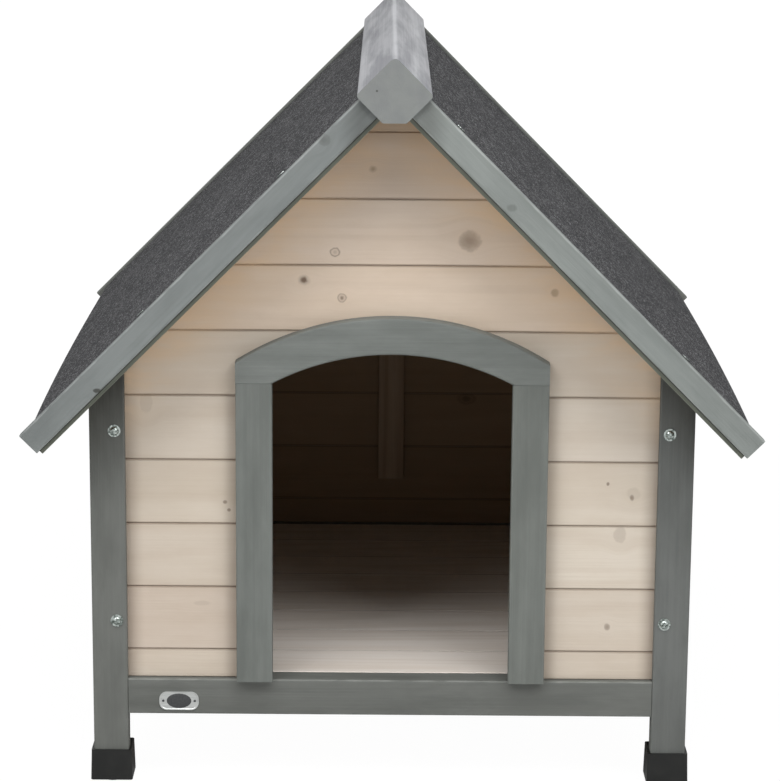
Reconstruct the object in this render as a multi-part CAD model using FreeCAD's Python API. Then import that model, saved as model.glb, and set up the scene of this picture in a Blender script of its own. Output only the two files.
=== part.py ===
"""Wooden dog house on four legs, with a saddle roof, tongue-and-groove walls and an arched doorway.

Millimetres. +Z is up, the front looks along -Y, and the origin is on the ground under the middle.
"""

import FreeCAD, Part

import math
import os

V = FreeCAD.Vector

# ---- walls and legs --------------------------------------------------------------------------
wall_width = 648.0          # over the two front posts
wall_depth = 715.0          # from the front posts' face to the rear posts' face
post_width = 38.0
post_depth = 22.0
side_post_width = 16.0      # along Y, behind a front post
side_frame_thickness = 32.0
edge_radius = 2.0           # rounded edges of the planed bars
batten_radius = 1.0
rail_bottom = 79.0
rail_height = 40.0
rail_depth = 30.0
rail_setback = 1.0          # the front rail's face lies this far behind the posts' face
top_rail_height = 34.0      # of the side rails under the roof, at their outer face

# ---- tongue-and-groove boards ----------------------------------------------------------------
board_pitch = 70.7
board_thickness = 11.0
board_recess = 8.5          # of the boards' face behind the posts' face
first_joint = 151.0         # height of the lowest joint between two wall boards
tongue_thickness = 3.6
tongue_height = 5.0
joint_chamfer = 1.1
groove_depth = 8.0          # of the housing in the posts that takes the boards' ends

# ---- doorway ---------------------------------------------------------------------------------
door_width = 256.0
door_courses = 5            # courses of boards that the doorway cuts in two
spring_above_joint = 16.7   # the arch springs this far above the last of those courses' lower joint
arch_rise = 32.0
trim_width = 39.0
trim_thickness = 18.0
trim_cheek = 38.5           # straight side of the arch piece above the springing, at most
board_reveal = 3.0          # boards are cut back this far behind the trim

# ---- roof ------------------------------------------------------------------------------------
roof_length = 870.0
roof_slope = 45.0           # degrees; the ridge beam is a square bar stood on its corner
beam_side = 56.5
beam_overhang = 5.0
beam_centre = 763.9         # height of the beam's widest line
beam_flat = 27.7            # from the widest line down to the planed flat underneath
beam_top_radius = 6.0
beam_side_radius = 4.0
beam_low_radius = 2.0
verge_drop = 5.6            # verge boards start this far below the beam's side corner
verge_width = 26.0
verge_thickness = 15.0
verge_length = 499.5        # down the slope
felt_inset = 3.0            # the felt lies this far below the verge boards' top
felt_thickness = 2.5
felt_short = 10.0           # the felt stops this far before the verge boards' lower end
felt_overhang = 6.0         # beyond the deck's lower edge
felt_lip = 9.0              # turned down over the deck's edge
deck_boards = 7
deck_thickness = 11.0
end_batten_width = 20.0
end_batten_depth = 14.5
inner_batten_side = 22.0

# ---- floor -----------------------------------------------------------------------------------
floor_boards = 8
floor_thickness = 12.0
ledger_width = 24.0
ledger_height = 20.0
cleat_width = 30.0
cleat_spacing = 185.0
cleat_short = 20.0          # the cleats stop this far before the floor's front and rear edges

# ---- inside battens, feet and screws ---------------------------------------------------------
gable_batten_width = 33.0
gable_batten_thickness = 16.0
rear_batten_bottom = 182.0
foot_wall = 2.5
foot_height = 34.0
foot_draft = 1.0
foot_floor = 4.0
foot_corner = 3.0
glide_radius = 13.5
glide_height = 4.0
screw_inset = 27.0          # from the post's outer face
screw_heights = (185.0, 396.0)
screw_length = 36.0
screw_radius = 2.0
screw_head_radius = 6.8
screw_dome_radius = 4.8
screw_flange = 0.9
screw_head_height = 3.0
recess_width = 1.5
recess_span = 6.4
recess_depth = 1.7

fit = 0.3                   # clearance between neighbouring pieces
bore_fit = 0.1              # radial clearance round a screw

# ---- worked out ------------------------------------------------------------------------------
half_wall = wall_width / 2
front_face = -wall_depth / 2
frame_back = front_face + post_depth
side_post_back = frame_back + fit + side_post_width
inner_x = half_wall - side_frame_thickness
floor_front = front_face + rail_setback + rail_depth + fit
rail_top = rail_bottom + rail_height
door_spring = first_joint + (door_courses - 1) * board_pitch + spring_above_joint
board_front = front_face + board_recess
board_back = board_front + board_thickness
leg_bottom = glide_height + foot_floor + fit
slope = math.radians(roof_slope)
beam_half = beam_side * math.sin(slope)
deck_top = felt_inset + felt_thickness + fit
deck_under = deck_top + deck_thickness
deck_length = verge_length - felt_short - felt_thickness - felt_overhang
verge_x = beam_half - verge_drop * math.sin(slope)
verge_z = beam_centre - verge_drop * math.cos(slope)
verge_start = V(verge_x, 0, verge_z)
under_deck = verge_z + verge_x * math.tan(slope) - (deck_under + fit) / math.cos(slope)
beam_bottom = beam_centre - beam_flat
arch_radius = ((door_width / 2) ** 2 + arch_rise ** 2) / (2 * arch_rise)
arch_centre = door_spring + arch_rise - arch_radius


# ---- helpers ---------------------------------------------------------------------------------
def block(x0, x1, y0, y1, z0, z1):
    return Part.makeBox(x1 - x0, y1 - y0, z1 - z0, V(x0, y0, z0))


def bar(x0, x1, y0, y1, z0, z1, along, radius=edge_radius):
    """A planed bar with its four long edges rounded; along is the index of its long axis."""
    raw = block(x0, x1, y0, y1, z0, z1)
    length = (x1 - x0, y1 - y0, z1 - z0)[along]
    ends = [(e.Vertexes[0].Point, e.Vertexes[1].Point, e) for e in raw.Edges]
    return raw.makeFillet(radius, [e for a, b, e in ends if abs(abs(b[along] - a[along]) - length) < 0.01])


def prism(points, run):
    """A solid with that outline, pushed along the vector run."""
    return Part.Face(Part.makePolygon([*points, points[0]])).extrude(run)


def in_xz(outline, y0, y1):
    return prism([V(x, y0, z) for x, z in outline], V(0, y1 - y0, 0))


def mirrored(shape):
    return shape.mirror(V(0, 0, 0), V(1, 0, 0))


def turned(shape):
    """The same piece at the back of the house, half a turn round."""
    copy = shape.copy()
    copy.rotate(V(0, 0, 0), V(0, 0, 1), 180)
    return copy


def on_roof(shape):
    """Puts a piece drawn in the roof's own frame on the right slope: X down the slope, Z out of it."""
    placed = shape.copy()
    placed.Placement = FreeCAD.Placement(verge_start, FreeCAD.Rotation(V(0, 1, 0), roof_slope))
    return placed


def save(name, *solids):
    shape = solids[0] if len(solids) == 1 else Part.makeCompound(list(solids))
    shape.exportStep(os.path.join("parts", name + ".step"))


def one(shape):
    """The single solid of a boolean result."""
    return shape.Solids[0]


# ---- boards ----------------------------------------------------------------------------------
def board_section(low, high, thickness, tongue=True, groove=True):
    """Outline of a tongue-and-groove board as (across, depth) pairs; depth 0 is the outer face."""
    low += fit / 2
    high -= fit / 2
    tongue_near = (thickness - tongue_thickness) / 2
    tongue_far = thickness - tongue_near
    play = fit / 2
    outline = [(low, joint_chamfer), (low + joint_chamfer, 0)]
    outline += [(high - joint_chamfer, 0), (high, joint_chamfer)]
    if tongue:
        tip = high + tongue_height
        outline += [(high, tongue_near), (tip, tongue_near), (tip, tongue_far), (high, tongue_far)]
    outline += [(high, thickness), (low, thickness)]
    if groove:
        root = low + tongue_height + 2 * fit
        outline += [(low, tongue_far + play), (root, tongue_far + play)]
        outline += [(root, tongue_near - play), (low, tongue_near - play)]
    return outline


def wall_joints(top):
    """Heights of the joints of a wall that starts on the bottom rail."""
    heights = [rail_top, first_joint]
    while heights[-1] + board_pitch < top:
        heights.append(heights[-1] + board_pitch)
    return [*heights, top]


def front_field():
    """The space between the posts, over the rail and under the roof that the boards fill."""
    reach = half_wall - post_width + groove_depth - fit
    shoulder = under_deck - reach * math.tan(slope)
    top = beam_bottom - fit
    top_half = (under_deck - top) / math.tan(slope)
    outline = [(-reach, rail_top), (reach, rail_top), (reach, shoulder)]
    outline += [(top_half, top), (-top_half, top), (-reach, shoulder)]
    return in_xz(outline, board_front - 1, board_back + 1)


def doorway(reveal, y0, y1):
    """The arched way through the wall, larger than the trim's inside by the reveal."""
    half = door_width / 2 + reveal
    radius = arch_radius + reveal
    spring = arch_centre + math.sqrt(radius ** 2 - half ** 2)
    low_left = V(-half, y0, rail_bottom)
    low_right = V(half, y0, rail_bottom)
    spring_left = V(-half, y0, spring)
    spring_right = V(half, y0, spring)
    crown = V(0, y0, arch_centre + radius)
    edges = [
        Part.makeLine(low_left, low_right),
        Part.makeLine(low_right, spring_right),
        Part.Arc(spring_right, crown, spring_left).toShape(),
        Part.makeLine(spring_left, low_left),
    ]
    return Part.Face(Part.Wire(edges)).extrude(V(0, y1 - y0, 0))


def gable_boards():
    """The boards of one gable wall, from the rail up."""
    field = front_field()
    joints = wall_joints(beam_bottom)
    boards = []
    for number, (low, high) in enumerate(zip(joints, joints[1:])):
        top_board = high == joints[-1]
        section = board_section(low, high, board_thickness, tongue=not top_board, groove=number > 0)
        points = [V(-half_wall, board_front + depth, across) for across, depth in section]
        boards.append(one(prism(points, V(wall_width, 0, 0)).common(field)))
    return boards


def front_boards():
    """The same boards with the doorway cut, so that the low ones are two short pieces each."""
    opening = doorway(board_reveal, board_front - 1, board_back + 1)
    for number, board in enumerate(gable_boards(), start=1):
        pieces = sorted(board.cut(opening).Solids, key=lambda piece: piece.CenterOfMass.x)
        if number <= door_courses and len(pieces) == 2:
            save(f"front_board_{number:02d}_left", pieces[0])
            save(f"front_board_{number:02d}_right", pieces[1])
        else:
            save(f"front_board_{number:02d}", *pieces)


def rear_boards():
    for number, board in enumerate(gable_boards(), start=1):
        save(f"rear_board_{number:02d}", turned(board))


# ---- frame -----------------------------------------------------------------------------------
def screw_spots():
    """Where the right-hand front screws go in."""
    return [V(half_wall - screw_inset, front_face, height) for height in screw_heights]


def screw_bores():
    reach = screw_length + fit
    return [Part.makeCylinder(screw_radius + bore_fit, reach, spot, V(0, 1, 0)) for spot in screw_spots()]


def under_roof(y0, y1):
    """Everything above the slope that the roof deck lies on, right-hand side."""
    reach = half_wall + 40
    low = under_deck - reach * math.tan(slope)
    return in_xz([(0, under_deck), (reach, low), (reach, under_deck)], y0 - 1, y1 + 1)


def gable_post():
    """The right-hand front post with the housing for the boards and its top cut to the slope."""
    inner = half_wall - post_width
    post = bar(inner, half_wall, front_face, frame_back, leg_bottom, under_deck, 2)
    y0, y1 = board_front - fit, board_back + fit
    housing = block(inner - 1, inner + groove_depth, y0, y1, rail_top, under_deck)
    post = post.cut(housing).cut(under_roof(front_face, frame_back))
    for bore in screw_bores():
        post = post.cut(bore)
    return one(post)


def side_post():
    """The right-hand post behind a front post, which carries the side boards."""
    y0 = frame_back + fit
    post = bar(inner_x, half_wall, y0, side_post_back, leg_bottom, under_deck, 2)
    middle = half_wall - side_frame_thickness / 2
    half = board_thickness / 2 + fit
    y1 = side_post_back
    housing = block(middle - half, middle + half, y1 - groove_depth, y1 + 1, rail_top, under_deck)
    post = post.cut(housing).cut(under_roof(y0, side_post_back))
    for bore in screw_bores():
        post = post.cut(bore)
    return one(post)


def bottom_rail():
    half = half_wall - post_width - fit
    y0 = front_face + rail_setback
    return bar(-half, half, y0, y0 + rail_depth, rail_bottom, rail_top, 0)


def side_rails():
    """Bottom rail and eaves rail of the right-hand side; the eaves rail is bevelled to the slope."""
    half = -side_post_back - fit
    bottom = bar(inner_x, half_wall, -half, half, rail_bottom, rail_top, 1)
    outer_top = under_deck - half_wall * math.tan(slope)
    low = outer_top - top_rail_height
    inner_top = under_deck - inner_x * math.tan(slope)
    outline = [(inner_x, low), (half_wall, low), (half_wall, outer_top), (inner_x, inner_top)]
    eaves = in_xz(outline, -half, half)
    middle = half_wall - side_frame_thickness / 2
    slot = board_thickness / 2 + fit
    housing = block(middle - slot, middle + slot, -half - 1, half + 1, low - 1, low + groove_depth)
    return bottom, one(eaves.cut(housing))


def side_boards():
    """Boards of the right-hand side, housed in the side posts and the eaves rail."""
    face = half_wall - (side_frame_thickness - board_thickness) / 2
    half = -side_post_back + groove_depth - fit
    top = under_deck - half_wall * math.tan(slope) - top_rail_height + groove_depth - fit
    joints = wall_joints(top)
    boards = []
    for number, (low, high) in enumerate(zip(joints, joints[1:])):
        section = board_section(low, high, board_thickness, tongue=high != top, groove=number > 0)
        boards.append(prism([V(face - depth, -half, across) for across, depth in section], V(0, 2 * half, 0)))
    return boards


# ---- door trim -------------------------------------------------------------------------------
def door_upright():
    """Right-hand upright of the door frame; it stands on the rail and stops at the springing."""
    x0 = door_width / 2
    y1 = board_front - fit
    return bar(x0, x0 + trim_width, y1 - trim_thickness, y1, rail_top + fit, door_spring - fit / 2, 2)


def door_arch():
    """One piece sawn to two concentric arcs, with upright cheeks and level feet on the uprights."""
    y1 = board_front - fit
    y0 = y1 - trim_thickness
    outer = door_width / 2 + trim_width
    blank = block(-outer, outer, y0, y1, door_spring + fit / 2, arch_centre + arch_radius + trim_width)
    disc = Part.makeCylinder(arch_radius + trim_width, trim_thickness, V(0, y0, arch_centre), V(0, 1, 0))
    arch = one(blank.common(disc).cut(doorway(0, y0 - 1, y1 + 1)))
    arcs = [e for e in arch.Edges if e.Curve.TypeId == "Part::GeomCircle"]
    return arch.makeFillet(edge_radius, [e for e in arcs if abs(e.CenterOfMass.y - y0) < 0.01])


# ---- roof ------------------------------------------------------------------------------------
def ridge_beam():
    """A square bar on its corner, planed flat underneath, with its other corners eased."""
    half_flat = beam_half - beam_flat / math.tan(slope)
    outline = [(half_flat, beam_bottom), (beam_half, beam_centre), (0, beam_centre + beam_half)]
    outline += [(-beam_half, beam_centre), (-half_flat, beam_bottom)]
    half = roof_length / 2 + beam_overhang
    beam = in_xz(outline, -half, half)
    top = beam_centre + beam_half
    roundings = ((top, beam_top_radius), (beam_centre, beam_side_radius), (beam_bottom, beam_low_radius))
    for height, radius in roundings:
        corners = [e for e in beam.Edges if abs(e.Length - 2 * half) < 0.01]
        beam = beam.makeFillet(radius, [e for e in corners if abs(e.CenterOfMass.z - height) < 0.5])
    return beam


def verge_board():
    """Board that closes the roof's front edge, on the right-hand slope."""
    y0 = -roof_length / 2
    return on_roof(bar(fit, verge_length, y0, y0 + verge_thickness, -verge_width, 0, 0))


def deck_ends():
    half = roof_length / 2 - verge_thickness - fit
    return -half, half


def deck():
    """Roof boards of the right-hand slope, running from gable to gable."""
    y0, y1 = deck_ends()
    pitch = (deck_length - fit) / deck_boards
    boards = []
    for number in range(deck_boards):
        low = fit + number * pitch
        last = number == deck_boards - 1
        section = board_section(low, low + pitch, deck_thickness, tongue=not last, groove=number > 0)
        points = [V(across, y0, depth - deck_under) for across, depth in section]
        boards.append(on_roof(prism(points, V(0, y1 - y0, 0))))
    return boards


def felt():
    """Roofing felt of the right-hand slope, with its lower edge turned down over the deck."""
    y0, y1 = deck_ends()
    top = -felt_inset
    low = top - felt_thickness
    end = verge_length - felt_short
    inner = end - felt_thickness
    turn = felt_thickness + 1.5
    corner = V(end - turn * (1 - math.sin(slope)), y0, top - turn * (1 - math.cos(slope)))
    edges = [
        Part.makeLine(V(fit, y0, top), V(end - turn, y0, top)),
        Part.Arc(V(end - turn, y0, top), corner, V(end, y0, top - turn)).toShape(),
        Part.makeLine(V(end, y0, top - turn), V(end, y0, low - felt_lip)),
        Part.makeLine(V(end, y0, low - felt_lip), V(inner, y0, low - felt_lip)),
        Part.makeLine(V(inner, y0, low - felt_lip), V(inner, y0, low)),
        Part.makeLine(V(inner, y0, low), V(fit, y0, low)),
        Part.makeLine(V(fit, y0, low), V(fit, y0, top)),
    ]
    return on_roof(Part.Face(Part.Wire(edges)).extrude(V(0, y1 - y0, 0)))


def end_batten():
    """Batten under the deck's front edge, behind the verge board."""
    y0, _ = deck_ends()
    top = -deck_under - fit
    y1 = y0 + end_batten_width
    return on_roof(bar(fit, verge_length - fit, y0, y1, top - end_batten_depth, top, 0, batten_radius))


def inner_batten():
    """Batten inside the front gable that keeps the roof in its place on the walls."""
    y0 = side_post_back + fit
    top = -deck_under - fit
    start = inner_batten_side + gable_batten_width / 2 / math.cos(slope)
    down = (inner_x - verge_start.x) / math.cos(slope) - (deck_under + inner_batten_side) - 2 * fit
    y1 = y0 + inner_batten_side
    return on_roof(bar(start, down, y0, y1, top - inner_batten_side, top, 0, batten_radius))


# ---- floor and inside battens ----------------------------------------------------------------
def floor():
    """Boards of the loose floor panel between the side walls, level with the rails' top."""
    start = floor_front
    pitch = -2 * start / floor_boards
    half = inner_x - fit
    boards = []
    for number in range(floor_boards):
        low = start + number * pitch
        last = number == floor_boards - 1
        section = board_section(low, low + pitch, floor_thickness, tongue=not last, groove=number > 0)
        points = [V(-half, across, rail_top - depth) for across, depth in section]
        boards.append(prism(points, V(2 * half, 0, 0)))
    return boards


def floor_bars(middles, width, half):
    """Bars along Y under the floor boards, at those distances from the middle plane."""
    top = rail_top - floor_thickness - fit
    low = top - ledger_height
    return [bar(x - width / 2, x + width / 2, -half, half, low, top, 1, batten_radius) for x in middles]


def gable_batten(bottom):
    """Upright batten inside a gable, behind the boards, up to the ridge beam."""
    half = gable_batten_width / 2
    y0 = board_back + fit
    y1 = y0 + gable_batten_thickness
    top = min(under_deck - half * math.tan(slope), beam_bottom) - fit
    return bar(-half, half, y0, y1, bottom, top, 2, batten_radius)


# ---- feet and screws -------------------------------------------------------------------------
def rounded_rectangle(x0, x1, y0, y1, z, radius):
    """A closed wire with rounded corners at that height."""
    straight = [
        (V(x0 + radius, y0, z), V(x1 - radius, y0, z)),
        (V(x1, y0 + radius, z), V(x1, y1 - radius, z)),
        (V(x1 - radius, y1, z), V(x0 + radius, y1, z)),
        (V(x0, y1 - radius, z), V(x0, y0 + radius, z)),
    ]
    bulge = radius * (1 - math.sin(math.radians(45)))
    near, far = y0 + bulge, y1 - bulge
    middles = [V(x1 - bulge, near, z), V(x1 - bulge, far, z), V(x0 + bulge, far, z), V(x0 + bulge, near, z)]
    edges = []
    for number, (start, end) in enumerate(straight):
        edges.append(Part.makeLine(start, end))
        edges.append(Part.Arc(end, middles[number], straight[(number + 1) % 4][0]).toShape())
    return Part.Wire(edges)


def foot():
    """Moulded cup under the front right leg, wider at its base, on a round glide."""
    x0, x1 = half_wall - post_width - fit, half_wall + fit
    y0, y1 = front_face - fit, side_post_back + fit
    base = glide_height
    top = base + foot_height
    low_grow, top_grow = foot_wall + foot_draft, foot_wall
    rims = []
    for grow, z in ((low_grow, base), (top_grow, top)):
        rims.append(rounded_rectangle(x0 - grow, x1 + grow, y0 - grow, y1 + grow, z, foot_corner))
    cup = Part.makeLoft(rims, True, True)
    cup = cup.cut(block(x0, x1, y0, y1, base + foot_floor, top + 1))
    middle = V((x0 + x1) / 2, (y0 + y1) / 2, 0)
    glide = Part.makeCylinder(glide_radius, glide_height, middle)
    rim = [e for e in glide.Edges if abs(e.CenterOfMass.z) < 0.01 and e.Curve.TypeId == "Part::GeomCircle"]
    return one(cup.fuse(glide.makeChamfer(1.0, rim)))


def screw(spot):
    """Washer-head screw: a dome with a cross recess on a thin flange, and a plain shank."""
    flange = V(screw_head_radius, -screw_flange, 0)
    foot_of_dome = V(screw_dome_radius, -screw_flange, 0)
    crown = V(0, -screw_head_height, 0)
    shoulder = V(screw_dome_radius * 0.72, -screw_flange - (screw_head_height - screw_flange) * 0.72, 0)
    outline = Part.Wire([
        Part.makeLine(V(0, 0, 0), V(screw_head_radius, 0, 0)),
        Part.makeLine(V(screw_head_radius, 0, 0), flange),
        Part.makeLine(flange, foot_of_dome),
        Part.Arc(foot_of_dome, shoulder, crown).toShape(),
        Part.makeLine(crown, V(0, 0, 0)),
    ])
    head = Part.Face(outline).revolve(V(0, 0, 0), V(0, 1, 0), 360)
    half, span = recess_width / 2, recess_span / 2
    deep = -screw_head_height + recess_depth
    recess = block(-half, half, -screw_head_height - 1, deep, -span, span)
    recess = recess.fuse(block(-span, span, -screw_head_height - 1, deep, -half, half))
    point_length = 2 * screw_radius
    straight = screw_length - point_length
    shank = Part.makeCylinder(screw_radius, straight, V(0, -0.1, 0), V(0, 1, 0))
    point = Part.makeCone(screw_radius, 0.4, point_length, V(0, straight - 0.1, 0), V(0, 1, 0))
    solid = one(head.cut(recess).fuse([shank, point]))
    solid.translate(spot)
    return solid


def four_corners(shape):
    """A front right piece at all four corners of the house."""
    return [shape, mirrored(shape), turned(mirrored(shape)), turned(shape)]


# ---- the house -------------------------------------------------------------------------------
os.makedirs("parts", exist_ok=True)

save("front_post_right", gable_post())
save("front_post_left", mirrored(gable_post()))
save("rear_post_left", turned(gable_post()))
save("rear_post_right", turned(mirrored(gable_post())))
save("front_bottom_rail", bottom_rail())
save("rear_bottom_rail", turned(bottom_rail()))
front_boards()
rear_boards()

side_corners = four_corners(side_post())
save("right_side_posts", side_corners[0], side_corners[2])
save("left_side_posts", side_corners[1], side_corners[3])
for side, place in (("right", lambda shape: shape), ("left", mirrored)):
    low_rail, eaves_rail = side_rails()
    save(f"{side}_bottom_rail", place(low_rail))
    save(f"{side}_eaves_rail", place(eaves_rail))
    save(f"{side}_side_boards", *[place(board) for board in side_boards()])
    save(f"door_trim_{side}", place(door_upright()))
    save(f"roof_deck_{side}", *[place(board) for board in deck()])
    save(f"roof_felt_{side}", place(felt()))
    save(f"verge_board_front_{side}", place(verge_board()))
    back = "left" if side == "right" else "right"
    save(f"verge_board_rear_{back}", turned(place(verge_board())))
    battens = [end_batten(), inner_batten()]
    rear_battens = [turned(mirrored(batten)) for batten in battens]
    save(f"roof_battens_{side}", *[place(batten) for batten in [*battens, *rear_battens]])

save("door_arch", door_arch())
save("ridge_beam", ridge_beam())
save("floor_boards", *floor())
ledger_middle = inner_x - fit - ledger_width / 2
save("floor_ledgers", *floor_bars([-ledger_middle, ledger_middle], ledger_width, -side_post_back - fit))
cleat_middles = [-cleat_spacing, 0, cleat_spacing]
save("floor_cleats", *floor_bars(cleat_middles, cleat_width, -floor_front - cleat_short))
arch_top = arch_centre + arch_radius + trim_width
save("front_gable_batten", gable_batten(arch_top))
save("rear_gable_batten", turned(gable_batten(rear_batten_bottom)))
save("foot_caps", *four_corners(foot()))
screws = [piece for spot in screw_spots() for piece in four_corners(screw(spot))]
save("wall_screws", *screws)
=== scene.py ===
import math

import bmesh
import bpy
from mathutils import Euler, Matrix, Vector


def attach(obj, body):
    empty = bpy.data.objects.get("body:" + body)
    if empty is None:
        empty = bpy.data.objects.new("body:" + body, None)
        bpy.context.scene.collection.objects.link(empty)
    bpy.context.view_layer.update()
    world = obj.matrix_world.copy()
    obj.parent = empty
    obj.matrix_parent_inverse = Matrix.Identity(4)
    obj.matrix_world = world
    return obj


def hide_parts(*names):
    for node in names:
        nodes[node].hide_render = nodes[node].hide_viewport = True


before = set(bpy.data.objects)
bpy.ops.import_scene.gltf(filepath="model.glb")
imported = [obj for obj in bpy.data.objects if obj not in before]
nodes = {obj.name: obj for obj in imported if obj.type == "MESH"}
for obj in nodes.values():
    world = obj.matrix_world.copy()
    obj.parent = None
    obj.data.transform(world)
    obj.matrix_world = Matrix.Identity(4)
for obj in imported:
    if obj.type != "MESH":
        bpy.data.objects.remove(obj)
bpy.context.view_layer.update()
print("frame loaded:", len(nodes), "nodes")


def srgb(red, green, blue):
    # a colour as a painter would read it off a screen, turned into Blender's linear values
    linear = [((c / 255 + 0.055) / 1.055) ** 2.4 if c > 10 else c / 255 / 12.92 for c in (red, green, blue)]
    return (*linear, 1.0)


# camera, at the photograph's viewing angle
cameraView = {
    "place": (-0.0064, -3.499, 1.1035),
    "down": 0.2438,
    "turn": 0.0015,
    "roll": 0.0078,
    "focalPixels": 3012.8,
    "framePixels": (780, 781),
    "axisRow": 500,
}


def makeCamera(view):
    longSide = max(view["framePixels"])
    data = bpy.data.cameras.new("camera")
    data.sensor_width = 36
    data.lens = view["focalPixels"] / longSide * data.sensor_width
    data.shift_y = (view["axisRow"] - view["framePixels"][1] / 2) / longSide
    data.clip_end = 60
    ahead = Vector((math.sin(view["turn"]) * math.cos(view["down"]),
                    math.cos(view["turn"]) * math.cos(view["down"]), -math.sin(view["down"])))
    level = Vector((math.cos(view["turn"]), -math.sin(view["turn"]), 0))
    above = level.cross(ahead)
    right = math.cos(view["roll"]) * level + math.sin(view["roll"]) * above
    up = -math.sin(view["roll"]) * level + math.cos(view["roll"]) * above
    turned = Matrix((right, up, -ahead)).transposed()
    camera = bpy.data.objects.new("camera", data)
    camera.matrix_world = Matrix.Translation(view["place"]) @ turned.to_4x4()
    bpy.context.scene.collection.objects.link(camera)
    bpy.context.scene.camera = camera


makeCamera(cameraView)
bpy.context.scene.view_settings.view_transform = "Standard"


# small helpers for node trees
def feed(tree, socket, value):
    if isinstance(value, bpy.types.NodeSocket):
        tree.links.new(value, socket)
    else:
        socket.default_value = value


def addNode(tree, kind, inputs=None, **settings):
    node = tree.nodes.new(kind)
    for name, value in settings.items():
        setattr(node, name, value)
    for name, value in (inputs or {}).items():
        feed(tree, node.inputs[name], value)
    return node


def mathNode(tree, operation, *values, clamp=False):
    node = addNode(tree, "ShaderNodeMath", operation=operation, use_clamp=clamp)
    for number, value in enumerate(values):
        feed(tree, node.inputs[number], value)
    return node.outputs[0]


def vectorNode(tree, operation, *values):
    node = addNode(tree, "ShaderNodeVectorMath", operation=operation)
    for number, value in enumerate(values):
        feed(tree, node.inputs[number], value)
    return node.outputs["Value"] if operation == "LENGTH" else node.outputs["Vector"]


def scaledVector(tree, vector, factor):
    node = addNode(tree, "ShaderNodeVectorMath", {"Scale": factor}, operation="SCALE")
    feed(tree, node.inputs[0], vector)
    return node.outputs["Vector"]


def remap(tree, value, fromLow, fromHigh, toLow=0.0, toHigh=1.0):
    # a soft step between two values
    node = addNode(tree, "ShaderNodeMapRange", {"Value": value, "From Min": fromLow, "From Max": fromHigh,
                                                "To Min": toLow, "To Max": toHigh})
    node.interpolation_type = "SMOOTHSTEP"
    return node.outputs["Result"]


# the Mix node's colour sockets go by number
mixSockets = {"factor": 0, "first": 6, "second": 7, "result": 2}


def mixColour(tree, factor, first, second, blend="MIX"):
    node = addNode(tree, "ShaderNodeMix", data_type="RGBA", blend_type=blend, clamp_factor=True)
    for key, value in (("factor", factor), ("first", first), ("second", second)):
        feed(tree, node.inputs[mixSockets[key]], value)
    return node.outputs[mixSockets["result"]]


def noise(tree, vector, scale, detail=2.0, roughness=0.5):
    return addNode(tree, "ShaderNodeTexNoise", {"Vector": vector, "Scale": scale, "Detail": detail,
                                                "Roughness": roughness}).outputs["Fac"]


def stretchedNoise(tree, vector, stretch, detail, roughness=0.5):
    return noise(tree, vectorNode(tree, "MULTIPLY", vector, stretch), 1.0, detail, roughness)


def colourPart(tree, colour, number):
    return addNode(tree, "ShaderNodeSeparateColor", {"Color": colour}).outputs[number]


def newGroup(name, inputs, outputs):
    group = bpy.data.node_groups.new(name, "ShaderNodeTree")
    for label, kind, value in inputs:
        socket = group.interface.new_socket(label, in_out="INPUT", socket_type=kind)
        if value is not None:
            socket.default_value = value
    for label, kind in outputs:
        group.interface.new_socket(label, in_out="OUTPUT", socket_type=kind)
    start = group.nodes.new("NodeGroupInput")
    end = group.nodes.new("NodeGroupOutput")
    return group, start.outputs, end.inputs


def useGroup(tree, group, inputs):
    node = tree.nodes.new("ShaderNodeGroup")
    node.node_tree = group
    for name, value in inputs.items():
        feed(tree, node.inputs[name], value)
    return node.outputs


numberSocket, vectorSocket = "NodeSocketFloat", "NodeSocketVector"

# wood grain: X runs along the timber; rings are contour lines of a stretched noise, as in flat-sawn boards
grainPattern = {
    "seedShift": (7.31, 1.73, 2.91),
    "ringStretch": (0.085, 1.0, 1.0), "ringRoughness": 0.35, "ringCount": 62.0, "ringLimits": (-0.4, 1.0),
    "ringSharpness": 1.6, "ringHeight": -0.6,
    "fibreStretch": (9.0, 420.0, 420.0), "fibreDetail": (3.0, 0.6), "fibreLimits": (0.32, 0.72),
    "fibreHeight": 0.5,
    "blotchStretch": (3.0, 26.0, 26.0), "blotchDetail": (2.0, 0.5), "blotchLimits": (0.3, 0.72),
    "mottleStretch": (14.0, 34.0, 34.0), "mottleDetail": (4.0, 0.62), "mottleLimits": (0.34, 0.68),
}


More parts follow.
